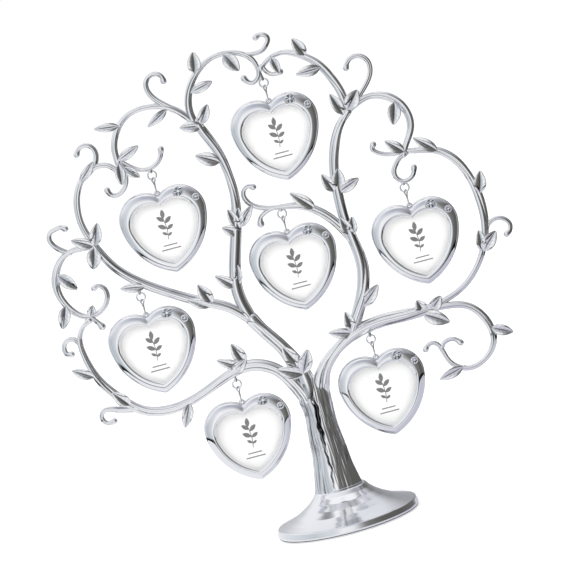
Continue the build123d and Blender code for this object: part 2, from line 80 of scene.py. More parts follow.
def smooth_line(points, step):
    """A natural cubic spline through the points, by chord length, read off at even steps of its length.
    Columns past the third, such as a width, run straight from point to point."""
    points = np.asarray(points, float)
    chord = run_of(points[:, :3])
    gaps = np.diff(chord)
    inner = np.arange(1, len(points) - 1)
    system = np.eye(len(points))
    system[inner, inner - 1] = gaps[:-1]
    system[inner, inner] = 2 * (gaps[:-1] + gaps[1:])
    system[inner, inner + 1] = gaps[1:]
    slopes = np.diff(points[:, :3], axis=0) / gaps[:, None]
    bends = np.zeros((len(points), 3))
    bends[inner] = 6 * np.diff(slopes, axis=0)
    bends = np.linalg.solve(system, bends)
    way = np.linspace(0, chord[-1], 60 * len(points))
    span = np.clip(np.searchsorted(chord, way) - 1, 0, len(gaps) - 1)
    gap = gaps[span][:, None]
    back = (chord[span + 1] - way)[:, None] / gap
    ahead = 1 - back
    places = back * points[span, :3] + ahead * points[span + 1, :3]
    places += ((back**3 - back) * bends[span] + (ahead**3 - ahead) * bends[span + 1]) * gap**2 / 6
    length = run_of(places)
    even = np.linspace(0, length[-1], max(4, int(length[-1] / step)))
    columns = [np.interp(even, length, column) for column in places.T]
    columns += [np.interp(np.interp(even, length, way), chord, column) for column in points[:, 3:].T]
    return np.stack(columns, axis=1), even


def in_scene(name, data):
    """A new object of this data at the origin."""
    made = bpy.data.objects.new(name, data)
    bpy.context.scene.collection.objects.link(made)
    return made


def solid_mesh(name, shells, material, flat=False):
    """Joins closed shells into one mesh. Each is a grid of places whose rows close round on themselves,
    with a share of painted shade for each point; its two ends are closed by poles, or by each other in a
    ring."""
    places, painted_shades, faces, count = [], [], [], 0
    for grid, hollow, ring in shells:
        rows, columns = grid.shape[:2]
        index = np.arange(rows * columns).reshape(rows, columns)
        index = np.vstack([index, index[:1]]) if ring else index
        right = np.roll(index, -1, axis=1)
        quads = np.stack([index[:-1], index[1:], right[1:], right[:-1]], axis=-1).reshape(-1, 4)
        points, shade = grid.reshape(-1, 3), np.broadcast_to(hollow, (rows, columns)).ravel()
        if not ring:
            poles = np.array([rows * columns, rows * columns + 1])
            points = np.vstack([points, grid[0].mean(0), grid[-1].mean(0)])
            shade = np.r_[shade, shade[0], shade[-1]]
            first = np.stack([index[0], right[0], np.full(columns, poles[0]), index[0]], axis=-1)
            last = np.stack([right[-1], index[-1], np.full(columns, poles[1]), right[-1]], axis=-1)
            quads = np.vstack([quads, first, last])
        corners = points[quads]
        triangles = np.concatenate([corners[:, [0, 1, 2]], corners[:, [0, 2, 3]]])
        volume = np.einsum("ij,ij->", triangles[:, 0], np.cross(triangles[:, 1], triangles[:, 2]))
        quads = quads if volume > 0 else quads[:, ::-1]
        places.append(points)
        painted_shades.append(shade)
        faces.append(quads + count)
        count += len(points)
    places, painted_shades, faces = np.vstack(places), np.concatenate(painted_shades), np.vstack(faces)
    rows = [list(dict.fromkeys(face)) for face in faces.tolist()]
    mesh = bpy.data.meshes.new(name)
    mesh.from_pydata((places * MM).tolist(), [], rows)
    # The share of painted shade, kept on each point, which darkens the metal colour in grooves and creases
    mesh.attributes.new("hollow", "FLOAT", "POINT").data.foreach_set("value", painted_shades.astype(np.float32))
    mesh.polygons.foreach_set("use_smooth", np.full(len(mesh.polygons), not flat))
    mesh.materials.append(material)
    mesh.update()
    return in_scene(name, mesh)


def tone(code):
    """An sRGB hex colour as the linear values that a shader takes."""
    share = np.array([int(code[place:place + 2], 16) for place in (1, 3, 5)]) / 255
    linear = np.where(share > 0.04045, ((share + 0.055) / 1.055) ** 2.4, share / 12.92)
    return (*linear.tolist(), 1.0)


def add_node(material, kind, inputs=None, **settings):
    """Adds one shader node, with its settings, and fills its sockets with values or with links."""
    made = material.node_tree.nodes.new(kind)
    for key, value in settings.items():
        setattr(made, key, value)
    for socket, value in (inputs or {}).items():
        if isinstance(value, bpy.types.NodeSocket):
            material.node_tree.links.new(value, made.inputs[socket])
        else:
            made.inputs[socket].default_value = value
    return made


def new_material(name):
    """An empty material."""
    material = bpy.data.materials.new(name)
    material.use_nodes = True
    material.node_tree.nodes.clear()
    return material


def show(material, shader):
    """Gives the material its surface and returns it."""
    add_node(material, "ShaderNodeOutputMaterial", {"Surface": shader.outputs[0]})
    return material


def grain_bump(material, noise, strength, depth_mm):
    """The fine relief of a noise, as a normal."""
    return add_node(material, "ShaderNodeBump", {
        "Height": noise.outputs["Fac"], "Strength": strength, "Distance": depth_mm * MM}).outputs[0]


def noise_of(material, size_mm, **detail):
    """Noise on the piece's own coordinates, with patches of this size."""
    place = add_node(material, "ShaderNodeTexCoord")
    return add_node(material, "ShaderNodeTexNoise", {
        "Vector": place.outputs["Object"], "Scale": 1 / (size_mm * MM), **detail})


def even_finish(name, colour, roughness, grain=None, **more):
    """One colour and gloss all over; a grain gives its size in mm, its strength and its depth in mm."""
    material = new_material(name)
    inputs = {"Base Color": tone(colour), "Roughness": roughness}
    inputs |= {key.replace("_", " "): value for key, value in more.items()}
    if grain:
        inputs["Normal"] = grain_bump(material, noise_of(material, grain[0]), *grain[1:])
    return show(material, add_node(material, "ShaderNodeBsdfPrincipled", inputs))


def plated_metal(name, bright, painted_shade_colour, roughness, ripple_mm, ripple_height):
    """Bright nickel plate: a clean metal colour, darkened towards a painted shade colour and made rougher
    by the share of painted shade in grooves and creases, over slow ripples left by buffing a casting."""
    material = new_material(name)
    hollow = add_node(material, "ShaderNodeAttribute", attribute_name="hollow")
    patches = noise_of(material, 4 * ripple_mm, Detail=3.0)
    uneven = add_node(material, "ShaderNodeMath", {
        0: patches.outputs["Fac"], 1: 0.5, 2: 0.75}, operation="MULTIPLY_ADD")
    # Painted shade: the share, broken up by patches, mixes the clean colour towards a dark one and raises the
    # roughness
    painted_shade_weight = add_node(material, "ShaderNodeMath", {
        0: hollow.outputs["Fac"], 1: uneven.outputs[0]}, operation="MULTIPLY", use_clamp=True)
    colour = add_node(material, "ShaderNodeMix", {
        "Factor": painted_shade_weight.outputs[0], "A": tone(bright), "B": tone(painted_shade_colour)}, data_type="RGBA")
    gloss = add_node(material, "ShaderNodeMapRange", {
        "Value": painted_shade_weight.outputs[0], "To Min": roughness, "To Max": 3 * roughness + 0.1})
    ripple = grain_bump(material, noise_of(material, ripple_mm, Detail=2.0), 0.6, ripple_height)
    return show(material, add_node(material, "ShaderNodeBsdfPrincipled", {
        "Base Color": colour.outputs["Result"], "Metallic": 1.0, "Roughness": gloss.outputs[0],
        "Normal": ripple}))


def dish_surface():
    """Turns the profile about the upright axis: radius and height follow the profile, smoothed between
    its corners, and the angle runs once round."""
    profile = np.array(DISH_PROFILE)
    run = run_of(profile)
    way = np.interp(np.linspace(0, len(run) - 1, DISH_SPANS * len(run)), np.arange(len(run)), run)
    line = read_off(way, run, profile)[1:-1]
    for _ in range(3):
        middle = (line[:-2] + 2 * line[1:-1] + line[2:]) / 4
        line = np.vstack([line[:1], middle, line[-1:]])
    angle = full_turn(DISH_TURNS)
    radius = line[:, :1]
    height = np.broadcast_to(line[:, 1:], (len(line), DISH_TURNS))
    return np.stack([radius * np.cos(angle), radius * np.sin(angle), height], axis=-1)


# Spun and polished bright nickel plate: a soft mirror, a little less sharp than the buffed castings
spun_nickel = plated_metal("spun_bright_nickel", "#f4f5f8", "#8a8b90", 0.14, 9.0, 0.006)
dish = solid_mesh("dish_foot", [(dish_surface(), 0.0, False)], spun_nickel)
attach(dish, "tree")
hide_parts("base_dish")

# Trunk: one zinc casting, flattened to facets and streaked like bark, with slivers of a crack down the
# edge that faces the front. It swells at the foot, where a screw from below pulls it down.
CROWN = 226.0
FOOT_HEIGHT = 16.5
TRUNK_DEPTH = 15.6
# Height, middle and width in thousandths of the crown, and depth as a share of the foot's depth
TRUNK_SECTIONS = (
    (0, -3, 96, 1.0), (12, -3, 91, 0.95), (40, -3, 80, 0.85), (80, -2, 71, 0.77), (120, -3, 64, 0.7),
    (160, -2, 60, 0.66), (190, -3, 64, 0.56), (206, -2, 58, 0.44), (218, -1, 46, 0.34), (226, 2, 32, 0.22),
    (231, 4, 14, 0.1),
)
# The front crack: height in thousandths, angle round the trunk in degrees, where 90 faces the front
TRUNK_CRACK = ((0, 97), (60, 100), (120, 102), (175, 101), (215, 97), (240, 92))
# Slivers of the crack: height of the middle and half length in mm, degrees off its line, width in
# radians, and depth as a share of the section
CRACK_SLIVERS = (
    (39, 10, 1.5, 0.055, 0.2), (34, 9, -6.5, 0.05, 0.17), (27, 7, 5.0, 0.03, 0.09),
    (19, 11, -0.5, 0.032, 0.12), (8, 7, 0.5, 0.025, 0.08),
)
FACET_POWER = 1.5
BARK_STREAKS = 300
BARK_STEP = 0.35
TRUNK_COLUMNS = 288
FRONT = np.array([0.0, -1.0, 0.0])


def crown_place(across, up, out=0.0):
    """A place in the tree's plane, in thousandths of the crown from the trunk's foot, and mm forward."""
    return np.array([across * CROWN / 1000, -out, FOOT_HEIGHT + up * CROWN / 1000])


def bark_streaks(angle, height, chance, count):
    """Bark: each streak is a bell across the angle and a longer, flatter one up the height, leans a
    little, and is either sunk or raised."""
    total = np.zeros(np.broadcast_shapes(angle.shape, height.shape))
    for _ in range(count):
        middle, level = chance.uniform(-np.pi, np.pi), chance.uniform(height.min(), height.max())
        length, wide = chance.uniform(3.5, 13), chance.uniform(0.018, 0.042)
        off = angle - middle - chance.normal(0, 0.007) * (height - level)
        off = (off + np.pi) % (2 * np.pi) - np.pi
        bell = np.exp(-((off / wide) ** 2) - ((height - level) / length) ** 4)
        total += chance.choice([-1.0, 0.7]) * wide * bell
    return total


def trunk_surface(chance):
    """An oval section, flattened to facets that meet in a front edge, carried up the trunk, with slow
    ribs and bark streaks, less the slivers of a crack down that edge, whose left lip stands proud."""
    sections = np.array(TRUNK_SECTIONS)
    size = CROWN / 1000
    columns = (sections[:, 1] * size, sections[:, 2] * size / 2, sections[:, 0] * size, sections[:, 3])
    line, _ = smooth_line(np.stack(columns, axis=1), BARK_STEP)
    middle, half_width, height, depth_share = (column[:, None] for column in line.T)
    half_depth = depth_share * TRUNK_DEPTH / 2
    angle = full_turn(TRUNK_COLUMNS)[None, :]
    crack = np.array(TRUNK_CRACK)
    crack_line = np.radians(np.interp(height / size, crack[:, 0], crack[:, 1]))
    off = (angle - crack_line + np.pi) % (2 * np.pi) - np.pi
    ragged = off - 0.05 * np.sin(height * 0.45) - 0.03 * np.sin(height * 1.1)
    cut = sum(
        depth * np.exp(-(((ragged - np.radians(shift)) / wide) ** 2) - ((height - level) / length) ** 4)
        for level, length, shift, wide, depth in CRACK_SLIVERS)
    lip = 0.035 * np.exp(-(((off - 0.2) / 0.14) ** 2))
    facet = (np.abs(np.cos(off)) ** FACET_POWER + np.abs(np.sin(off)) ** FACET_POWER) ** (-1 / FACET_POWER)
    streaks = bark_streaks(angle, height, chance, BARK_STREAKS)
    ribs = 0.016 * np.sin(9 * angle + 0.05 * height + 1.5 * np.sin(0.07 * height)) ** 3
    reach = np.minimum(facet * (1.03 + lip) + 0.5 * streaks + ribs - cut, 1.03)
    grid = np.stack([
        middle + half_width * reach * np.cos(angle),
        -half_depth * reach * np.sin(angle),
        height + FOOT_HEIGHT + 0 * angle,
    ], axis=-1)
    # The second value is painted shade, darkest in the crack's slivers and in the sunk bark streaks
    return grid, np.clip(12 * cut + 16 * np.maximum(-streaks, 0) - 0.1, 0, 1)


def round_end(line, heading, outwards):
    """Rows that close a rod with a half ball: the place moves on along the heading while the radius
    falls as a quarter circle."""
    way = np.sin(np.linspace(0, np.pi / 2, 7)[1:-1])
    rows = np.repeat(line[None], len(way), axis=0)
    radius = line[3] / 2
    rows[:, :3] += outwards * heading * (way * radius)[:, None]
    rows[:, 3] *= np.sqrt(1 - way**2)
    return rows if outwards > 0 else rows[::-1]


def twisted_strands(angle, way, chance, count, deep):
    """A section of strands wound together: each is a circle set off the middle, at an angle that turns
    and wanders along the way, and the circle that reaches furthest gives the outline. Returns that
    reach, and a share of painted shade that is 1 in the sharp valley where two strands meet."""
    twist = chance.choice([-1, 1]) * chance.uniform(0.005, 0.03)
    reaches = []
    for start in 2 * np.pi * (np.arange(count) + chance.uniform(-0.2, 0.2, count)) / count:
        radius = 1 - deep * chance.uniform(0.85, 1.1)
        wander = 0.4 * np.sin(chance.uniform(0.05, 0.13) * way + chance.uniform(0, 2 * np.pi))
        off = angle - start - twist * way - wander
        set_off = 1 - radius
        reaches.append(set_off * np.cos(off) + np.sqrt(radius**2 - (set_off * np.sin(off)) ** 2))
    reaches = np.sort(np.stack(np.broadcast_arrays(*reaches)), axis=0)
    return reaches[-1], np.exp(-(((reaches[-1] - reaches[-2]) / 0.05) ** 2))


def vine(waypoints, chance, strands=4, deep=0.36, knob=0.3, columns=56, least=2.25, stout=1.14):
    """A rod of twisted strands carried along a smooth line through the waypoints, which give across, up
    and width. Near its end the strands melt into one, which may swell to a blunt knob."""
    size = CROWN / 1000
    points = np.array([[*crown_place(across, up), width * size] for across, up, width in waypoints])
    line, even = smooth_line(points, 0.6)
    heading = unit(np.gradient(line[:, :3], axis=0))
    line[:, 3] = np.maximum(stout * line[:, 3], least)
    tip = line[-1, 3]
    line[:, 3] *= 1 + knob * np.exp(-(((even - even[-1]) / (0.6 * tip)) ** 2)) * (tip < 2.6)
    first, last = round_end(line[0], heading[0], -1), round_end(line[-1], heading[-1], 1)
    way = np.r_[np.full(len(first), even[0]), even, np.full(len(last), even[-1])][:, None]
    heading = np.pad(heading, ((len(first), len(last)), (0, 0)), mode="edge")
    line = np.vstack([first, line, last])
    side = np.cross(heading, FRONT)
    angle = full_turn(columns)[None, :]
    strand, valley = twisted_strands(angle, way, chance, strands, deep)
    fade = np.clip((even[-1] - way) / tip - 0.2, 0, 1)
    reach = (1 - fade + fade * strand) * line[:, 3:4] / 2
    grid = line[:, None, :3] + reach[..., None] * (
        np.cos(angle)[..., None] * side[:, None] + np.sin(angle)[..., None] * FRONT)
    # The second value is painted shade in the valleys where strands meet, fading out towards the end
    return grid, fade * valley, False


# A leaf's rise from its rib to its edge and the swell of each half, in mm, and its stretch in length
LEAF_FOLD = 0.95
LEAF_PILLOW = 0.22
LEAF_REACH = 1.06


def leaf_blade(base_across, base_up, tip_across, tip_up, width, lift=2.0):
    """A pointed leaf: across it each half swells between the sunk rib and a raised rim, along it the half
    width rises fast and runs out to a point that curls forward."""
    base, tip = crown_place(base_across, base_up, 0.7 * lift), crown_place(tip_across, tip_up, lift)
    tip = base + LEAF_REACH * (tip - base)
    heading = unit(tip - base)
    outward = unit(FRONT - heading * (heading @ FRONT))
    across = np.cross(outward, heading)
    way = np.linspace(-0.16, 1, 31)[1:-1, None]
    angle = full_turn(44)[None, :]
    grown = np.clip(way, 0, 1)
    shape = grown**0.68 * (1 - grown) ** 0.92
    half = width * CROWN / 1750 * np.maximum(shape / shape.max(), 0.16 * (way < 0.3))
    spread, rise = np.cos(angle), np.sin(angle)
    edge = np.abs(spread)
    body = half / half.max()
    face = np.clip(rise, 0, 1)
    veins = np.sin(2 * np.pi * (5.5 * way - 0.9 * edge)) * edge * (1 - edge) * 4 * body * (way > 0.08)
    rib = np.exp(-((spread / 0.1) ** 2)) * body * face
    rim = np.exp(-(((edge - 0.93) / 0.05) ** 2)) * body * face
    pillow = (LEAF_FOLD * edge + LEAF_PILLOW * np.sin(np.pi * edge)) * body
    height = pillow + (0.28 * (1 - 0.6 * edge**2) * (0.35 + 0.65 * body)) * rise
    height = height + 0.015 * veins * face - 0.14 * rib + 0.04 * rim
    bow = 0.35 * np.sin(np.pi * grown) + 1.2 * np.clip(way - 0.7, 0, 1) ** 2
    grid = base + (tip - base) * way[..., None]
    grid = grid + across * (half * spread)[..., None] + outward * (height + bow)[..., None]
    # Painted shade: darker along the sunk rib, in the vein furrows and along the raised rim
    hollow = np.clip(1.2 * rib + 0.15 * np.clip(-veins, 0, 1) * face + 0.8 * rim, 0, 1)
    return grid, hollow, False


# Buffed bright nickel plate over cast zinc: a clean mirror on the ridges, and dark painted shade in the
# grooves
cast_nickel = plated_metal("buffed_cast_nickel", "#f2f3f5", "#242527", 0.08, 6.0, 0.008)
TRUNK_LEAVES = ((-13, 244, 7, 288, 26, 5.5), (-13, 242, -61, 264, 24, 5.5), (-17, 256, -39, 304, 26, 4.0))
LEFT_FORK = (
    (-8, 110, 10), (-9, 145, 22), (-10, 182, 33), (-13, 225, 35), (-23, 264, 31), (-39, 300, 26),
    (-71, 348, 24), (-85, 374, 24),
)


def casting(name, node, branches, leaves, chance, extras=()):
    """Joins one casting's rods, leaves and rings into a mesh that stands for its node."""
    shells = [vine(waypoints, chance, 3 if waypoints[0][2] < 13 else 4) for waypoints in branches]
    shells += [leaf_blade(*leaf) for leaf in leaves]
    piece = solid_mesh(name, [*shells, *extras], cast_nickel)
    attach(piece, "tree")
    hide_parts(node)


bark = np.random.default_rng(5)
trunk_grid, trunk_painted_shade = trunk_surface(bark)
casting("trunk_casting", "trunk", [LEFT_FORK], TRUNK_LEAVES, bark, [(trunk_grid, trunk_painted_shade, False)])

# Eyelets: small rings cast in one with the limbs, from which the links hang. Each has a short neck.
HOOKS = ((58, 823), (-203, 702), (-287, 473), (27, 562), (276, 550), (-147, 254), (135, 273))
NECKS = ((-3, 33), (0, 15), (0, 33), (0, 14), (0, 13), (0, 24), (0, 27))
EYELET_RADIUS = 1.95
EYELET_WIRE = 0.75


def ring_about(middle, radius, wire, axis, turns=36, sides=14):
    """A wire ring: a small circle carried round a larger one that lies square to the axis."""
    axis = np.asarray(axis, float)
    first = np.cross(axis, (0.0, 0.0, 1.0)) if abs(axis[2]) < 0.9 else np.array([1.0, 0.0, 0.0])
    first = unit(first)
    turn, angle = full_turn(turns)[:, None, None], full_turn(sides)[None, :, None]
    outward = first * np.cos(turn) + np.cross(axis, first) * np.sin(turn)
    return middle + outward * (radius + wire / 2 * np.cos(angle)) + axis * wire / 2 * np.sin(angle)


def eyelet(number):
    """A ring in the tree's plane, and its neck, a short rod up to the limb."""
    (across, up), (neck_across, neck_up) = HOOKS[number - 1], NECKS[number - 1]
    ring = ring_about(crown_place(across, up), EYELET_RADIUS, EYELET_WIRE, (0, 1, 0), 40, 16)
    top = up + EYELET_RADIUS * 1000 / CROWN
    neck = ((across, top - 1, 6), ((2 * across + neck_across) / 2, (top + up + neck_up) / 2, 4.5),
            (across + neck_across, up + neck_up, 6))
    stem = vine(neck, np.random.default_rng(number), 2, 0.1, 0, 16, 1.0)
    return [(ring, 0.0, True), stem]


# Right limbs: the heavy limb from the crotch to the lower right, with the seventh frame's eyelet, and
# the upright limb that rises from it to the right-hand crown. Each is one casting, soldered in place.
RIGHT_LIMB = (
    (4, 110, 10), (6, 145, 20), (10, 185, 31), (17, 214, 31), (30, 239, 25), (65, 270, 21),
    (107, 292, 24), (159, 303, 24), (219, 302, 23), (275, 302, 18),
)
RIGHT_LIMB_LEAVES = (
    (103, 294, 57, 308, 20), (105, 296, 99, 340, 20), (105, 290, 149, 308, 18),
    (251, 298, 243, 326, 22), (263, 296, 291, 322, 22), (249, 296, 295, 268, 26),
)
UPPER_RIGHT_LIMB = (
    (105, 298, 22), (117, 320, 22), (141, 366, 23), (155, 420, 24), (151, 468, 22), (145, 516, 19),
    (144, 564, 19), (148, 614, 18), (163, 666, 19), (188, 710, 15), (205, 726, 14),
)
UPPER_RIGHT_LEAVES = (
    (136, 341, 175, 376, 22), (151, 484, 160, 521, 18), (149, 484, 137, 524, 20),
    (139, 578, 123, 618, 20), (147, 578, 157, 620, 24), (149, 576, 191, 592, 20), (195, 722, 179, 768, 20),
)
casting("right_limb_casting", "right_limb", [RIGHT_LIMB], RIGHT_LIMB_LEAVES, bark, eyelet(7))
casting("upper_right_limb_casting", "upper_right_limb", [UPPER_RIGHT_LIMB], UPPER_RIGHT_LEAVES, bark)

# Left limbs: the low limb that sweeps left, the leader that climbs to the crown, the limb that arches
# over the upper left frame, and the round loop tied between them. Curls end in small blunt knobs.
LOWER_LEFT = (
    (-12, 120, 10), (-13, 152, 22), (-18, 185, 30), (-34, 222, 26), (-61, 260, 22), (-111, 284, 22),
    (-165, 274, 18), (-225, 251, 16),
    (-285, 239, 18), (-341, 252, 18), (-379, 286, 17), (-411, 332, 15), (-427, 384, 13), (-425, 430, 11),
    (-413, 446, 10), (-399, 454, 10),
)
LOWER_LEFT_CURLS = (
    ((-353, 258, 14), (-391, 266, 12), (-421, 268, 9), (-425, 256, 8), (-415, 244, 7), (-403, 245, 6)),
    ((-428, 410, 10), (-437, 424, 9), (-452, 426, 8), (-462, 409, 7), (-458, 399, 6), (-450, 397, 6)),
    ((-393, 458, 10), (-383, 446, 10), (-377, 435, 10)),
)
LOWER_LEFT_LEAVES = (
    (-132, 287, -173, 312, 18), (-120, 289, -137, 336, 24), (-152, 275, -117, 299, 20),
    (-248, 242, -269, 198, 20), (-363, 268, -391, 302, 22), (-418, 342, -457, 366, 18),
)
MIDDLE_LIMB = (
    (-79, 360, 18), (-91, 392, 23), (-98, 444, 22), (-88, 494, 22), (-67, 564, 20), (-56, 616, 18),
    (-56, 664, 16), (-64, 712, 17), (-82, 758, 18), (-91, 780, 16),
)
MIDDLE_LEAVES = (
    (-97, 444, -133, 476, 20), (-93, 448, -85, 486, 16), (-65, 547, -95, 566, 20),
    (-63, 555, -75, 598, 18), (-62, 558, -55, 596, 18), (-62, 558, -27, 594, 18),
    (-66, 694, -109, 718, 24), (-84, 776, -61, 810, 20), (-83, 772, -125, 780, 20),
)
LEFT_LIMB = (
    (-82, 366, 18), (-121, 406, 19), (-169, 431, 20), (-225, 463, 18), (-285, 505, 17), (-325, 548, 16),
    (-349, 594, 15), (-363, 640, 14), (-362, 682, 14), (-345, 723, 12), (-315, 745, 10), (-281, 742, 10),
    (-265, 724, 10),
)
LEFT_CURL = (
    (-337, 730, 10), (-315, 744, 10), (-300, 774, 10), (-305, 787, 9), (-316, 793, 9), (-328, 791, 8),
    (-337, 780, 8),
)
LEFT_LEAVES = (
    (-153, 424, -171, 468, 24), (-157, 420, -199, 444, 18), (-274, 492, -321, 500, 18),
    (-349, 596, -333, 638, 22), (-351, 596, -391, 618, 20), (-351, 592, -363, 552, 26),
    (-343, 726, -309, 758, 16),
)
LEFT_RING = (
    (-350, 594, 10), (-369, 596, 12), (-407, 594, 11), (-435, 568, 14), (-445, 528, 15), (-431, 489, 13),
    (-401, 463, 11), (-369, 468, 10), (-351, 496, 10), (-354, 509, 9), (-364, 516, 8), (-373, 514, 7),
)
LEFT_RING_CURL = (
    (-401, 594, 10), (-421, 608, 10), (-433, 634, 9), (-428, 643, 8), (-417, 647, 7), (-405, 648, 6),
    (-397, 643, 6),
)
LEFT_RING_LEAVES = ((-435, 558, -405, 522, 22), (-436, 494, -453, 452, 22), (-394, 462, -383, 482, 16))
casting("lower_left_casting", "lower_left_limb", [LOWER_LEFT, *LOWER_LEFT_CURLS], LOWER_LEFT_LEAVES,
        bark, eyelet(6))
casting("middle_casting", "middle_limb", [MIDDLE_LIMB], MIDDLE_LEAVES, bark)
casting("left_casting", "left_limb", [LEFT_LIMB, LEFT_CURL], LEFT_LEAVES, bark, eyelet(3))
casting("left_ring_casting", "left_ring", [LEFT_RING, LEFT_RING_CURL], LEFT_RING_LEAVES, bark)

# Crown arches: the slim loops over the upper frames, soldered end to end where leaves hide the joints,
# with tall curls between them.
TOP_LEFT = (
    (-86, 770, 11), (-105, 794, 14), (-137, 823, 13), (-179, 835, 10), (-219, 830, 11), (-249, 804, 13),
    (-263, 766, 13), (-262, 744, 12),
)
TOP_LEFT_CURLS = (
    ((-129, 818, 12), (-149, 836, 11), (-169, 869, 10), (-167, 884, 10), (-158, 893, 9), (-146, 895, 9),
     (-135, 888, 8), (-133, 877, 8)),
    ((-261, 750, 10), (-254, 730, 8), (-258, 698, 7), (-269, 686, 6), (-283, 682, 6), (-293, 687, 6),
     (-297, 696, 6)),
    ((-259, 748, 8), (-247, 736, 7), (-217, 717, 6), (-201, 717, 6), (-177, 735, 6), (-173, 748, 6)),
)
TOP_LEFT_LEAVES = (
    (-242, 814, -289, 820, 16), (-142, 821, -185, 798, 16), (-259, 748, -215, 766, 18),
    (-261, 741, -265, 700, 18), (-253, 731, -227, 706, 16),
)
TOP_ARCH = (
    (-93, 774, 16), (-98, 800, 15), (-91, 840, 15), (-67, 875, 13), (-29, 897, 10), (15, 896, 10),
    (47, 874, 10), (53, 858, 9), (53, 844, 8), (46, 833, 8), (36, 829, 8), (27, 834, 7), (22, 842, 7),
)
TOP_ARCH_CURL = (
    (33, 888, 8), (55, 884, 8), (71, 886, 7), (83, 896, 7), (88, 906, 6), (82, 915, 6), (73, 917, 5),
    (65, 914, 5),
)
TOP_ARCH_LEAVES = ((-69, 876, -62, 917, 24), (-85, 842, -41, 852, 18), (-5, 898, 17, 860, 26))
TOP_RIGHT = (
    (200, 722, 11), (203, 748, 16), (192, 796, 17), (171, 834, 16), (141, 859, 13), (105, 872, 9),
    (77, 865, 8), (59, 852, 8),
)
TOP_RIGHT_TWIG = ((63, 856, 8), (71, 841, 8), (81, 835, 7), (95, 836, 7))
TOP_RIGHT_LEAVES = ((85, 868, 93, 834, 16), (151, 855, 134, 893, 22), (173, 824, 125, 823, 20))
CENTRE_ARCH = (
    (147, 482, 18), (131, 510, 17), (101, 546, 16), (63, 569, 14), (19, 577, 9), (-19, 589, 10),
    (-35, 606, 10), (-35, 625, 8), (-25, 632, 7), (-15, 628, 6),
)
CENTRE_STUB = ((19, 577, 8), (-5, 572, 9), (-16, 564, 9), (-19, 553, 10))
CENTRE_LEAVES = ((93, 556, 53, 598, 22),)
casting("top_left_casting", "top_left_arch", [TOP_LEFT, *TOP_LEFT_CURLS], TOP_LEFT_LEAVES, bark, eyelet(2))
casting("top_casting", "top_arch", [TOP_ARCH, TOP_ARCH_CURL], TOP_ARCH_LEAVES, bark, eyelet(1))
casting("top_right_casting", "top_right_arch", [TOP_RIGHT, TOP_RIGHT_TWIG], TOP_RIGHT_LEAVES, bark)
casting("centre_casting", "centre_arch", [CENTRE_ARCH, CENTRE_STUB], CENTRE_LEAVES, bark, eyelet(4))

# Right side: the arch over the right-hand frame with its tall curl, the big bow that runs down to the
# heavy limb, and the round loop at that limb's end.
UPPER_RIGHT_ARCH = (
    (199, 724, 12), (219, 734, 12), (255, 744, 11), (289, 734, 15), (315, 704, 15), (318, 664, 14),
    (299, 630, 12), (291, 614, 11),
)
UPPER_RIGHT_CURLS = (
    ((225, 740, 9), (245, 760, 9), (268, 792, 9), (268, 812, 9), (257, 825, 9), (243, 828, 8),
     (231, 823, 8), (223, 810, 7)),
    ((297, 620, 9), (271, 621, 9), (253, 625, 8), (240, 632, 8), (233, 642, 7), (237, 649, 6)),
    ((297, 616, 9), (282, 610, 9), (270, 599, 10), (263, 585, 10), (266, 571, 9), (277, 563, 8),
     (290, 564, 8), (300, 572, 7), (304, 584, 6)),
)
UPPER_RIGHT_ARCH_LEAVES = ((299, 720, 286, 678, 24), (205, 730, 233, 762, 26), (293, 620, 261, 650, 20))
RIGHT_ARCH = (
    (295, 620, 8), (315, 616, 11), (355, 606, 13), (388, 578, 15), (407, 538, 15), (415, 492, 17),
    (413, 444, 16), (399, 398, 14), (372, 356, 13), (332, 324, 12), (289, 309, 12), (263, 302, 12),
)
RIGHT_ARCH_CURL = (
    (409, 414, 8), (417, 434, 8), (429, 442, 8), (443, 443, 8), (456, 435, 8), (461, 424, 8),
    (457, 413, 7), (450, 408, 6),
)
RIGHT_ARCH_LEAVES = (
    (357, 606, 317, 642, 20), (418, 502, 429, 544, 22), (395, 388, 429, 420, 24), (395, 388, 397, 430, 18),
)
LOWER_RING = (
    (262, 302, 12), (299, 300, 14), (339, 289, 14), (367, 254, 16), (373, 210, 13), (347, 176, 10),
    (307, 167, 10), (277, 188, 9), (266, 220, 8), (261, 229, 7), (252, 234, 7), (243, 232, 6),
    (236, 225, 6),
)
LOWER_RING_TWIG = ((267, 216, 8), (274, 228, 7), (285, 232, 7), (297, 230, 7), (307, 220, 7))
LOWER_RING_LEAVES = ((374, 234, 413, 216, 20), (298, 172, 249, 160, 18))
casting("upper_right_arch_casting", "upper_right_arch", [UPPER_RIGHT_ARCH, *UPPER_RIGHT_CURLS],
        UPPER_RIGHT_ARCH_LEAVES, bark, eyelet(5))
casting("right_arch_casting", "right_arch", [RIGHT_ARCH, RIGHT_ARCH_CURL], RIGHT_ARCH_LEAVES, bark)
casting("lower_ring_casting", "lower_right_ring", [LOWER_RING, LOWER_RING_TWIG], LOWER_RING_LEAVES, bark)

# Heart frames: pressed and polished shells with a domed rim, a bevelled mouth and a rebated pocket. A
# small cast lug stands in the notch of each, with a hole across it for the link.
HEART_WIDTH = 39.4
HEART_DEPTH = 6.2
HEART_BACK_SET = -0.11
LINK_BOTTOM = -6.515
LUG_RISE = 0.9
LUG_RADIUS = 1.03
LUG_WIRE = 0.9
LUG_STEM_DROP = 1.9
LUG_STEM_RADIUS = 0.5
LUG_STEM_WIRE = 1.0
# Each crystal's place as shares of the width, its width and height, and its seat as a share of the depth
CRYSTALS = ((0.241, 0.521, 4.0, 2.3, 0.3), (0.42, 0.412, 2.5, 1.6, 0.21))
CRYSTAL_GIRDLE = 0.6
# Half an outline as shares of the width, from the notch over the lobe to the tip: mouth and outer rim
MOUTH_OUTLINE = ((0, 0.529), (0.247, 0.598), (0.5, 0.264), (0.34, -0.08), (0, -0.333))
RIM_OUTLINE = ((0, 0.529), (0.247, 0.598), (0.505, 0.262), (0.368, -0.102), (0, -0.378))
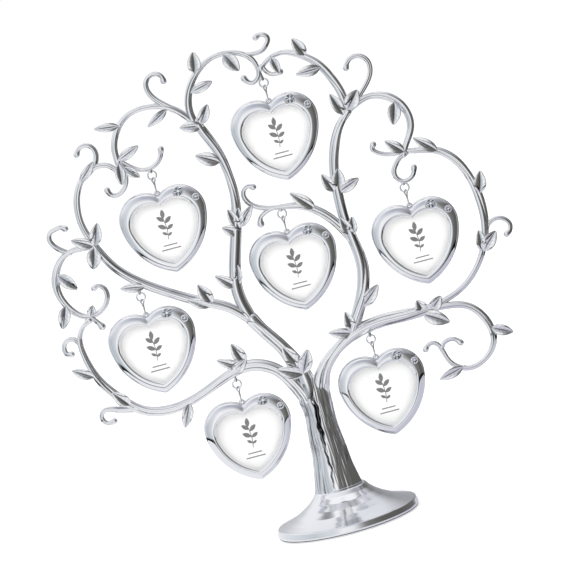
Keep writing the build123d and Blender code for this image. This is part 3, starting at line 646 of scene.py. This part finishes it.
# The wall's section once round: share of the depth from the front, of the width, and of the rim's
# outline against the mouth's
HEART_WALL = (
    (1.0, 0.955, 1), (0.93, 0.974, 1), (0.8, 0.988, 1), (0.62, 0.998, 1), (0.47, 1.0, 1), (0.34, 0.992, 1),
    (0.235, 0.973, 1), (0.15, 0.945, 1), (0.085, 0.91, 1), (0.038, 0.872, 1), (0.01, 0.84, 0.9),
    (0.0, 0.82, 0.5), (0.008, 0.803, 0.2), (0.04, 0.785, 0), (0.1, 0.77, 0), (0.19, 0.763, 0),
    (0.27, 0.7615, 0), (0.371, 0.7615, 0), (0.371, 0.7625, 0), (0.371, 0.821, 0), (0.372, 0.822, 0),
    (0.99, 0.822, 0), (1.0, 0.823, 0), (1.0, 0.88, 0.5),
)
WALL_FRONT_POINTS = 16


def arc_between(start, through, end, count):
    """Evenly spaced places on the circle that runs from the start, through a point, to the end."""
    rows = 2 * np.array([np.subtract(through, start), np.subtract(end, start)])
    sums = np.array([np.dot(point, point) - np.dot(start, start) for point in (through, end)])
    middle = np.linalg.solve(rows, sums)
    angles = [np.arctan2(*(np.subtract(point, middle)[::-1])) for point in (start, through, end)]
    turned = [(angle - angles[0] + np.pi) % (2 * np.pi) - np.pi for angle in angles]
    if turned[1] * turned[2] < 0 or abs(turned[2]) < abs(turned[1]):
        turned[2] += 2 * np.pi * np.sign(turned[1])
    sweep = angles[0] + np.linspace(0, turned[2], count, endpoint=False)
    radius = np.linalg.norm(np.subtract(start, middle))
    return middle + radius * np.stack([np.cos(sweep), np.sin(sweep)], axis=1)


def heart_line(shares, count, softness):
    """A heart's outline once round, on two arcs a side, with its notch and tip rounded by averaging."""
    notch, crest, shoulder, flank, tip = shares
    lobe, side = arc_between(notch, crest, shoulder, 400), arc_between(shoulder, flank, tip, 400)
    right = np.vstack([lobe, side, [tip]])
    line = np.vstack([right, right[-2:0:-1] * (-1, 1)])
    closed = np.vstack([line, line[:1]])
    length = run_of(closed)
    even = np.linspace(0, length[-1], count, endpoint=False)
    line = read_off(even, length, closed)
    for _ in range(softness):
        line = (np.roll(line, 1, axis=0) + 2 * line + np.roll(line, -1, axis=0)) / 4
    return line


def heart_shell():
    """The wall's section carried round the outline: the width share shrinks the outline to its middle
    and the depth share sets it back. Round each crystal the dome drops to a cup."""
    wall = np.array(HEART_WALL)
    wall = np.vstack([wall, wall[:1]])
    sizes = np.array([HEART_DEPTH, HEART_WIDTH / 2])
    run = run_of(wall[:, :2] * sizes)
    front = run[WALL_FRONT_POINTS]
    way = np.unique(np.r_[run, np.linspace(0, front, 44)])[:-1]
    section = read_off(way, run, wall)
    for _ in range(3):
        near = (np.roll(section, 1, axis=0) + 2 * section + np.roll(section, -1, axis=0)) / 4
        section[way < front] = near[way < front]
    rim, mouth = heart_line(RIM_OUTLINE, 400, 5)[:, None], heart_line(MOUTH_OUTLINE, 400, 5)[:, None]
    depth, share, outer = (column[None, :, None] for column in section.T)
    flat = HEART_WIDTH * share * (outer * rim + (1 - outer) * mouth)
    grid = np.stack([flat[..., 0], HEART_DEPTH * depth[..., 0] + 0 * flat[..., 0], flat[..., 1]], axis=-1)
    for across, up, width, height, seat in CRYSTALS:
        middle = HEART_WIDTH * np.array([across, up])
        off = np.linalg.norm(grid[..., [0, 2]] - middle, axis=-1)
        floor = seat * HEART_DEPTH - np.where(off < width / 2 - 0.1, -0.05, CRYSTAL_GIRDLE * height)
        sunk = (off < width / 2 + 0.3) & (grid[..., 1] < floor)
        grid[..., 1] = np.where(sunk, floor, grid[..., 1])
    return grid


# Pressed zinc, polished and plated: the cleanest mirror on the object
pressed_nickel = plated_metal("polished_pressed_nickel", "#f1f2f5", "#3f4044", 0.05, 14.0, 0.012)
pivots = {
    number: 1000 * np.array(joint["pos_m"])
    for number in range(1, len(HOOKS) + 1)
    for joint in frame["joints"] if joint["name"] == f"heart_{number}_fore_and_aft"
}
HEART_MIDDLE = np.array([0, HEART_BACK_SET - HEART_DEPTH / 2, LINK_BOTTOM - LUG_RISE - 0.529 * HEART_WIDTH])
shell = heart_shell()
for number, pivot in pivots.items():
    hole = pivot + (0, 0, LINK_BOTTOM)
    lug = ring_about(hole, LUG_RADIUS, LUG_WIRE, (0, 1, 0))
    stem = ring_about(hole - (0, 0, LUG_STEM_DROP), LUG_STEM_RADIUS, LUG_STEM_WIRE, (0, 0, 1), 24, 12)
    shells = [(shell + pivot + HEART_MIDDLE, 0.0, True), (lug, 0.0, True), (stem, 0.0, True)]
    piece = solid_mesh(f"heart_{number}_shell", shells, pressed_nickel)
    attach(piece, f"heart_{number}")
    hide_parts(f"heart_{number}_frame")

# Links: long rings of drawn wire, pinched at the middle. The upper bend sits in the eyelet, turned a
# little to the front, and the lower bend carries the heart by its lug.
LINK_WIDTH = 3.1
LINK_WIRE = 0.7
LINK_TOP = 0.785
LINK_PINCH = 0.42
LINK_TWIST = 38.0


def link_ring():
    """A small circle carried round a tall rounded slot, which lies edge on to the front and is drawn in
    at its middle; the slot turns about the upright as it rises."""
    bend = (LINK_WIDTH - LINK_WIRE) / 2
    half = np.linspace(0, np.pi, 22)
    upper = np.stack([bend * np.cos(half), LINK_TOP - bend + bend * np.sin(half)], axis=1)
    lower = np.stack([-bend * np.cos(half), LINK_BOTTOM + bend - bend * np.sin(half)], axis=1)
    legs = np.linspace(upper[-1], lower[0], 26)[1:-1]
    path = np.vstack([upper, legs, lower, legs[::-1] * (-1, 1)])
    share = (path[:, 1] - LINK_BOTTOM - bend) / (LINK_TOP - LINK_BOTTOM - 2 * bend)
    waist = np.sin(np.pi * np.clip(share, 0, 1)) ** 0.8
    path[:, 0] *= 1 - (1 - LINK_PINCH / bend) * waist
    turned = np.radians(LINK_TWIST) * np.clip(share, 0, 1) ** 2
    places = np.stack([path[:, 0] * np.sin(turned), path[:, 0] * np.cos(turned), path[:, 1]], axis=1)
    heading = unit(np.roll(places, -1, axis=0) - np.roll(places, 1, axis=0))
    flat = np.stack([np.cos(turned), -np.sin(turned), 0 * turned], axis=1)
    flat = unit(flat - heading * np.sum(heading * flat, axis=1)[:, None])
    around = full_turn(12)[None, :, None]
    outward = np.cos(around) * flat[:, None] + np.sin(around) * np.cross(heading, flat)[:, None]
    return places[:, None] + LINK_WIRE / 2 * outward


# Drawn steel wire, plated like the castings but without their ripples
wire_nickel = plated_metal("plated_bright_wire", "#eeeff1", "#45464a", 0.09, 6.0, 0.0)
for number, pivot in pivots.items():
    piece = solid_mesh(f"heart_{number}_wire", [(link_ring() + pivot, 0.0, True)], wire_nickel)
    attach(piece, f"link_{number}")
    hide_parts(f"heart_{number}_link")

# Crystals: two cut stones in the right lobe of each heart, a large and a small one. Each is glass with
# a silvered back, dropped in a cup in the frame and held by a thin turned-over collar.
COLLAR_WIRE = 0.6
COLLAR_GAP = 0.12


def cut_stone(width, height):
    """A round brilliant: eight-sided table, two rows of crown facets, a thin girdle, and a cone of
    sixteen facets behind. Returns places, faces and each face's finish: clear, silvered or painted shade."""
    radius = width / 2
    rows = (
        (0.55, 1.0, 8, 0.5), (0.8, 0.84, 8, 0.0), (1.0, 0.64, 16, 0.0), (1.0, 0.6, 16, 0.0),
        (0.24, 0.0, 16, 0.0),
    )
    rings, places = [], []
    for reach, rise, count, shift in rows:
        turn = 2 * np.pi * (np.arange(count) + shift) / count
        rings.append(len(places) + np.arange(count))
        places += np.stack([
            radius * reach * np.cos(turn), np.full(count, -rise * height), radius * reach * np.sin(turn),
        ], axis=1).tolist()
    table, crown, upper, lower, back = rings
    faces, silvered = [table.tolist()], [0]
    for step in range(8):
        after = (step + 1) % 8
        faces += [
            [crown[step], crown[after], table[step]], [table[step], crown[after], table[after]],
            [crown[step], upper[2 * step], upper[2 * step + 1]],
            [crown[step], upper[2 * step + 1], crown[after]],
            [crown[after], upper[2 * step + 1], upper[(2 * step + 2) % 16]],
        ]
        silvered += [0] * 5
    for step in range(16):
        after = (step + 1) % 16
        faces += [[upper[step], lower[step], lower[after], upper[after]],
                  [lower[step], back[step], back[after], lower[after]]]
        # One back facet in three takes the painted shade finish
        silvered += [0, 1 + step % 3 % 2]
    faces.append(back[::-1].tolist())
    silvered.append(1)
    return np.array(places), faces, silvered


def stone_mesh(name, stones, materials):
    """Joins cut stones into one flat-shaded mesh that faces outward, each face in its own finish."""
    places, faces, silvered = [], [], []
    for middle, (points, sides, backs) in stones:
        points = points + middle
        for side in sides:
            corners = points[side]
            normal = np.cross(corners[1] - corners[0], corners[2] - corners[0])
            outward = normal @ (corners.mean(axis=0) - points.mean(axis=0)) > 0
            faces.append([int(corner) + len(places) for corner in (side if outward else side[::-1])])
        silvered += backs
        places += points.tolist()
    mesh = bpy.data.meshes.new(name)
    mesh.from_pydata([[value * MM for value in place] for place in places], [], faces)
    for material in materials:
        mesh.materials.append(material)
    mesh.polygons.foreach_set("material_index", silvered)
    mesh.update()
    return in_scene(name, mesh)


# Clear lead glass, hard and sharp edged
crystal_glass = even_finish("clear_cut_glass", "#fbfcff", 0.0, IOR=1.6, Transmission_Weight=1.0)
# Silvering on the stone's back, which throws the light out again
silvering = even_finish("silvered_stone_back", "#f4f6f9", 0.02, Metallic=1.0)
# Painted shade: a darker copy of the silvering on one back facet in three, which shows dark between the
# bright ones
painted_shade_back = even_finish("shaded_stone_back", "#4a4d52", 0.05, Metallic=1.0)
for number, pivot in pivots.items():
    stones, collars = [], []
    for across, up, width, height, seat in CRYSTALS:
        place = pivot + HEART_MIDDLE + (across * HEART_WIDTH, seat * HEART_DEPTH, up * HEART_WIDTH)
        stones.append((place, cut_stone(width, height)))
        rim = place - (0, height * CRYSTAL_GIRDLE + COLLAR_WIRE / 3, 0)
        collars.append((ring_about(rim, width / 2 + COLLAR_GAP, COLLAR_WIRE, (0, 1, 0), 48, 12), 0.0, True))
    piece = stone_mesh(f"heart_{number}_stones", stones, (crystal_glass, silvering, painted_shade_back))
    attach(piece, f"heart_{number}")
    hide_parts(f"heart_{number}_crystals")
    collar = solid_mesh(f"heart_{number}_collars", collars, pressed_nickel)
    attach(collar, f"heart_{number}")


# Windows, cards and backs: a clear pane, a printed card and a black moulded plate slide into each
# pocket from behind. The card stays plain white around a small printed sprig.
def dress(node, material):
    """Gives a CAD piece that already has its true shape a better finish."""
    for slot in frame["nodes"][node].material_slots:
        slot.material = material


# Clear acrylic sheet: almost unseen, with a faint shine of its own
clear_pane = even_finish("clear_acrylic_sheet", "#ffffff", 0.03, IOR=1.49, Alpha=0.05)
# White matt card stock, with the tooth of its fibres
card_stock = even_finish("white_card_stock", "#fdfdfc", 0.6, (0.4, 0.15, 0.02))
# Grey printing ink, matt
print_ink = even_finish("grey_printed_ink", "#5b5b5d", 0.55)
# Black plastic, moulded with a fine satin grain
back_plastic = even_finish("satin_black_moulding", "#1b1b1c", 0.38, (0.5, 0.3, 0.03))

CARD_DEPTH = 3.3
INK_THICKNESS = 0.012
SLIP_SHARE = 0.817
PANE_FRONT = 2.32
PANE_BACK = 3.24
PANE_EDGE = 0.12
PANE_EDGE_SHARE = 0.812
RULE_WIDTH = 0.5
# The printed sprig's leaves: share of the way up the stem, degrees from upright, and length
SPRIG_LEAVES = (
    (1.0, 4, 4.2), (0.9, -48, 4.0), (0.82, 52, 4.1), (0.56, -60, 4.3), (0.48, 62, 3.6), (0.24, -56, 2.8),
    (0.18, 60, 2.4),
)


def heart_sheet():
    """A flat heart with eased edges: its outline carried from the front to the back, a little smaller
    at both."""
    outline = HEART_WIDTH * heart_line(MOUTH_OUTLINE, 200, 3)
    rows = (
        (PANE_FRONT, PANE_EDGE_SHARE), (PANE_FRONT + PANE_EDGE, SLIP_SHARE),
        (PANE_BACK - PANE_EDGE, SLIP_SHARE), (PANE_BACK, PANE_EDGE_SHARE),
    )
    return np.stack([
        np.stack([outline[:, 0] * share, np.full(len(outline), depth), outline[:, 1] * share], axis=1)
        for depth, share in rows])


def ribbon(path, width):
    """A printed line: a thin flat strip of even width laid along a path in the card's plane."""
    path = np.asarray(path, float)
    heading = unit(np.gradient(path, axis=0))
    side = np.stack([-heading[:, 1], heading[:, 0]], axis=1) * width / 2
    edges = np.stack([path - side, path + side, path + side, path - side], axis=1)
    depth = np.array([0, 0, -INK_THICKNESS, -INK_THICKNESS])
    return np.stack([edges[..., 0], np.broadcast_to(depth, edges.shape[:2]), edges[..., 1]], axis=-1)


def card_print():
    """The generic print about the heart's middle: a sprig whose stem is a slow wave, with pairs of
    leaves that are sine bulges along straight ribs, and two short rules below."""
    along = np.linspace(0, 1, 24)
    stem = np.stack([0.5 * np.sin(3.2 * along) - 0.2, 0.4 + 9.6 * along], axis=1)
    strips = [ribbon(stem, 0.34)]
    bulge = np.sin(np.pi * along[:, None]) ** 0.8 + 0.03
    for place, angle, length in SPRIG_LEAVES:
        base = stem[int(place * (len(stem) - 1))]
        way = np.array([np.sin(np.radians(angle)), np.cos(np.radians(angle))])
        strips.append(ribbon(base + along[:, None] * length * way, 0.46 * length * bulge))
    for half, level in ((3.2, -2.1), (4.4, -4.0)):
        strips.append(ribbon([(-half, level), (half, level)], RULE_WIDTH))
    return strips


printed = card_print()
sheet = heart_sheet()
for number, pivot in pivots.items():
    dress(f"heart_{number}_card", card_stock)
    dress(f"heart_{number}_back", back_plastic)
    piece = solid_mesh(f"heart_{number}_pane", [(sheet + pivot + HEART_MIDDLE, 0.0, False)], clear_pane, True)
    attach(piece, f"heart_{number}")
    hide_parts(f"heart_{number}_window")
    middle = pivot + HEART_MIDDLE + (0, CARD_DEPTH, 0)
    strips = [(grid + middle, 0.0, False) for grid in printed]
    piece = solid_mesh(f"heart_{number}_print", strips, print_ink, True)
    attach(piece, f"heart_{number}")

# Underside: a felt disc glued in the dish's recess, over the socket screw that holds the trunk.
# Black wool felt: matt, with short crossed fibres
base_felt = new_material("black_wool_felt")
fluff = noise_of(base_felt, 0.9, Detail=6.0, Roughness=0.75)
shade = add_node(base_felt, "ShaderNodeMix", {
    "Factor": fluff.outputs["Fac"], "A": tone("#17171a"), "B": tone("#3a3a3e")}, data_type="RGBA")
show(base_felt, add_node(base_felt, "ShaderNodeBsdfPrincipled", {
    "Base Color": shade.outputs["Result"], "Roughness": 0.95, "Sheen Weight": 0.35,
    "Sheen Roughness": 0.5, "Normal": grain_bump(base_felt, fluff, 0.8, 0.25)}))
dress("base_felt", base_felt)
# Zinc plated steel, a dull even grey
dress("base_screw", even_finish("zinc_plated_screw", "#b9bcc0", 0.35, Metallic=1.0))

# Studio: a white sweep under soft boxes. What a mirror needs is something to reflect, so a tall ring of
# cards stands round the tree, light on the left, dark on the right, and only reflections see it.
FLOOR_REACH = 6.0
WALL_RADIUS = 2.5
WALL_HEIGHT = 3.0
LAVENDER_REACH = 0.235
LOW_CARD_HEIGHT = 0.0006
LAVENDER_HEIGHT = 0.001
CARD_COUNT = 64
LAMP_AIM = (0, 0, 0.1)


def stage_plane(name, corners, material, hidden=False):
    """One flat card or floor, given by its corners in metres; a hidden one shows only in reflections."""
    mesh = bpy.data.meshes.new(name)
    mesh.from_pydata(corners, [], [list(range(len(corners)))])
    mesh.materials.append(material)
    card = in_scene(name, mesh)
    if hidden:
        card.visible_camera = card.visible_diffuse = card.visible_shadow = False


def seen_directly(tree):
    """1 for camera, mirror and glass rays, 0 for the light that falls on the pieces."""
    path = add_node(tree, "ShaderNodeLightPath")
    seen = add_node(tree, "ShaderNodeMath", {
        0: path.outputs["Is Camera Ray"], 1: path.outputs["Is Glossy Ray"]}, operation="ADD")
    return add_node(tree, "ShaderNodeMath", {
        0: seen.outputs[0], 1: path.outputs["Is Transmission Ray"]}, operation="ADD", use_clamp=True)


world = bpy.data.worlds.new("white_studio")
world.use_nodes = True
bpy.context.scene.world = world
world.node_tree.nodes.clear()
level = add_node(world, "ShaderNodeMapRange", {
    "Value": seen_directly(world).outputs[0], "To Min": 0.95, "To Max": 1.0})
sky = add_node(world, "ShaderNodeBackground", {"Color": tone("#ffffff"), "Strength": level.outputs[0]})
add_node(world, "ShaderNodeOutputWorld", {"Surface": sky.outputs[0]})

# White sweep: lifted to the backdrop's white, and still takes the foot's soft shadow
sweep = new_material("white_paper_sweep")
paper = add_node(sweep, "ShaderNodeBsdfDiffuse", {"Color": tone("#f4f4f4")})
lifted = add_node(sweep, "ShaderNodeMath", {
    0: seen_directly(sweep).outputs[0], 1: 0.2}, operation="MULTIPLY")
glow = add_node(sweep, "ShaderNodeEmission", {"Color": tone("#ffffff"), "Strength": lifted.outputs[0]})
show(sweep, add_node(sweep, "ShaderNodeAddShader", {0: paper.outputs[0], 1: glow.outputs[0]}))
sides = (-FLOOR_REACH, FLOOR_REACH)
stage_plane("floor", [(sides[right], sides[up], 0) for right, up in ((0, 0), (1, 0), (1, 1), (0, 1))], sweep)

# Cards: one colour by direction low down and one high up, from the left round the front, the right and
# the back. On the floor they are white to lavender close to the foot, which is what downward mirrors
# show, then black in a ring, and then take the wall's low colours.
LOW_TONES = (
    (0.0, "#d5dadf"), (0.08, "#bdc4ca"), (0.17, "#d9dde1"), (0.21, "#ffffff"), (0.265, "#f0f1f2"),
    (0.29, "#bdbec0"), (0.32, "#7d7c7a"), (0.4, "#62615e"), (0.5, "#5d5c59"), (0.62, "#6b6a69"),
    (0.73, "#a5a6aa"), (0.84, "#eff0f2"), (1.0, "#d5dadf"),
)
HIGH_TONES = (
    (0.0, "#f8f9fb"), (0.14, "#e9ebf0"), (0.25, "#b9bcc8"), (0.4, "#a4a5a9"), (0.5, "#a9aab0"),
    (0.65, "#d9dbe0"), (0.8, "#f4f5f8"), (1.0, "#f8f9fb"),
)
FLOOR_TONES = (
    (0.0, "#f3f4f6"), (0.2, "#f0f0f3"), (0.3, "#dcdce4"), (0.42, "#c9c8d5"), (0.6, "#cfcfda"),
    (0.8, "#e9e9ef"), (1.0, "#f3f4f6"),
)
# In metres: how far to each side the start of the high colours shifts, their start on the left and on
# the right, the height over which they come in, and from the axis, where the ceiling turns white and
# where the black ring ends
SHIFT_SIDE = 1.5
HIGH_START_LEFT, HIGH_START_RIGHT = 0.5, 1.3
HIGH_FADE = 0.9
CEILING_FADE = (2.4, 1.2)
BLACK_RING_FADE = (0.27, 0.34)


def direction_ramp(material, colours):
    """Colours by the direction from the upright axis, in turns from the left, counted over the front."""
    place = add_node(material, "ShaderNodeTexCoord")
    around = add_node(material, "ShaderNodeTexGradient", {
        "Vector": place.outputs["Object"]}, gradient_type="RADIAL")
    tones = add_node(material, "ShaderNodeValToRGB", {"Fac": around.outputs["Fac"]})
    marks = tones.color_ramp.elements
    while len(marks) < len(colours):
        marks.new(0.5)
    for mark, (way, code) in zip(marks, colours):
        mark.position, mark.color = way, tone(code)
    return tones.outputs["Color"]


card_ring = new_material("card_ring")
place = add_node(card_ring, "ShaderNodeTexCoord")
spot = add_node(card_ring, "ShaderNodeSeparateXYZ", {0: place.outputs["Object"]})
level = add_node(card_ring, "ShaderNodeCombineXYZ", {0: spot.outputs["X"], 1: spot.outputs["Y"]})
away = add_node(card_ring, "ShaderNodeVectorMath", {0: level.outputs[0]}, operation="LENGTH")
start = add_node(card_ring, "ShaderNodeMapRange", {
    "Value": spot.outputs["X"], "From Min": -SHIFT_SIDE, "From Max": SHIFT_SIDE,
    "To Min": HIGH_START_LEFT, "To Max": HIGH_START_RIGHT})
rising = add_node(card_ring, "ShaderNodeMath", {
    0: spot.outputs["Z"], 1: start.outputs[0]}, operation="SUBTRACT")
high = add_node(card_ring, "ShaderNodeMapRange", {"Value": rising.outputs[0], "From Max": HIGH_FADE})
faded = add_node(card_ring, "ShaderNodeMix", {
    "Factor": high.outputs[0], "A": direction_ramp(card_ring, LOW_TONES),
    "B": direction_ramp(card_ring, HIGH_TONES)}, data_type="RGBA")
overhead = add_node(card_ring, "ShaderNodeMapRange", {
    "Value": away.outputs["Value"], "From Min": CEILING_FADE[0], "From Max": CEILING_FADE[1]})
topmost = add_node(card_ring, "ShaderNodeMath", {
    0: high.outputs[0], 1: overhead.outputs[0]}, operation="MULTIPLY")
topped = add_node(card_ring, "ShaderNodeMix", {
    "Factor": topmost.outputs[0], "A": faded.outputs["Result"], "B": tone("#ffffff")}, data_type="RGBA")
clear = add_node(card_ring, "ShaderNodeMapRange", {
    "Value": away.outputs["Value"], "From Min": BLACK_RING_FADE[0], "From Max": BLACK_RING_FADE[1]},
    interpolation_type="SMOOTHSTEP")
based = add_node(card_ring, "ShaderNodeMix", {
    "Factor": clear.outputs[0], "A": tone("#0c0c0d"), "B": topped.outputs["Result"]}, data_type="RGBA")
show(card_ring, add_node(card_ring, "ShaderNodeEmission", {"Color": based.outputs["Result"]}))
low_card = new_material("lavender_low_card")
show(low_card, add_node(low_card, "ShaderNodeEmission", {"Color": direction_ramp(low_card, FLOOR_TONES)}))
turn = np.linspace(0, 2 * np.pi, CARD_COUNT + 1)
for step, (here, after) in enumerate(zip(turn, turn[1:])):
    near, far = (WALL_RADIUS * np.array([np.cos(angle), np.sin(angle)]) for angle in (here, after))
    corners = [(*near, 0.0), (*far, 0.0), (*far, WALL_HEIGHT), (*near, WALL_HEIGHT)]
    stage_plane(f"card_{step}", [[float(value) for value in corner] for corner in corners], card_ring, True)
for name, reach, height, material in (
    ("overhead_card", WALL_RADIUS, WALL_HEIGHT, card_ring),
    ("low_card", WALL_RADIUS, LOW_CARD_HEIGHT, card_ring),
    ("lavender_card", LAVENDER_REACH, LAVENDER_HEIGHT, low_card),
):
    places = [(reach * float(np.cos(angle)), reach * float(np.sin(angle)), height) for angle in turn[:-1]]
    stage_plane(name, places, material, True)


def soft_box(name, place, aim, size, power):
    """A square area lamp turned to face its aim, which no mirror shows."""
    lamp = bpy.data.lights.new(name, "AREA")
    lamp.size, lamp.energy = size, power
    box = in_scene(name, lamp)
    box.location = place
    box.visible_glossy = False
    away = Vector(place) - Vector(aim)
    box.rotation_euler = away.to_track_quat("Z", "Y").to_euler()


soft_box("key_box", (-1.1, -1.1, 1.5), LAMP_AIM, 0.8, 9.0)
soft_box("fill_box", (1.3, -0.9, 1.2), LAMP_AIM, 0.9, 3.0)
soft_box("top_box", (0, 0.3, 1.9), LAMP_AIM, 1.2, 6.0)

# Camera: a long lens almost level with the tree, rolled as the photograph is
CAMERA_AIM = (0.0002, 0.0, 0.1103)
CAMERA_DISTANCE = 1.5
CAMERA_RISE = 6.6
CAMERA_ROLL = 14.8
CAMERA_LENS = 208.0
CAMERA_SENSOR = 36.0
lens = bpy.data.cameras.new("camera")
lens.lens, lens.sensor_width, lens.clip_start, lens.clip_end = CAMERA_LENS, CAMERA_SENSOR, 0.1, 50.0
camera = in_scene("camera", lens)
rise = np.radians(CAMERA_RISE)
backwards = Vector((0, -float(np.cos(rise)), float(np.sin(rise))))
camera.location = Vector(CAMERA_AIM) + CAMERA_DISTANCE * backwards
facing = Matrix.Rotation(float(np.pi / 2 - rise), 3, "X")
camera.rotation_euler = (facing @ Matrix.Rotation(-float(np.radians(CAMERA_ROLL)), 3, "Z")).to_euler()
bpy.context.scene.camera = camera
bpy.context.scene.view_settings.view_transform = "Standard"
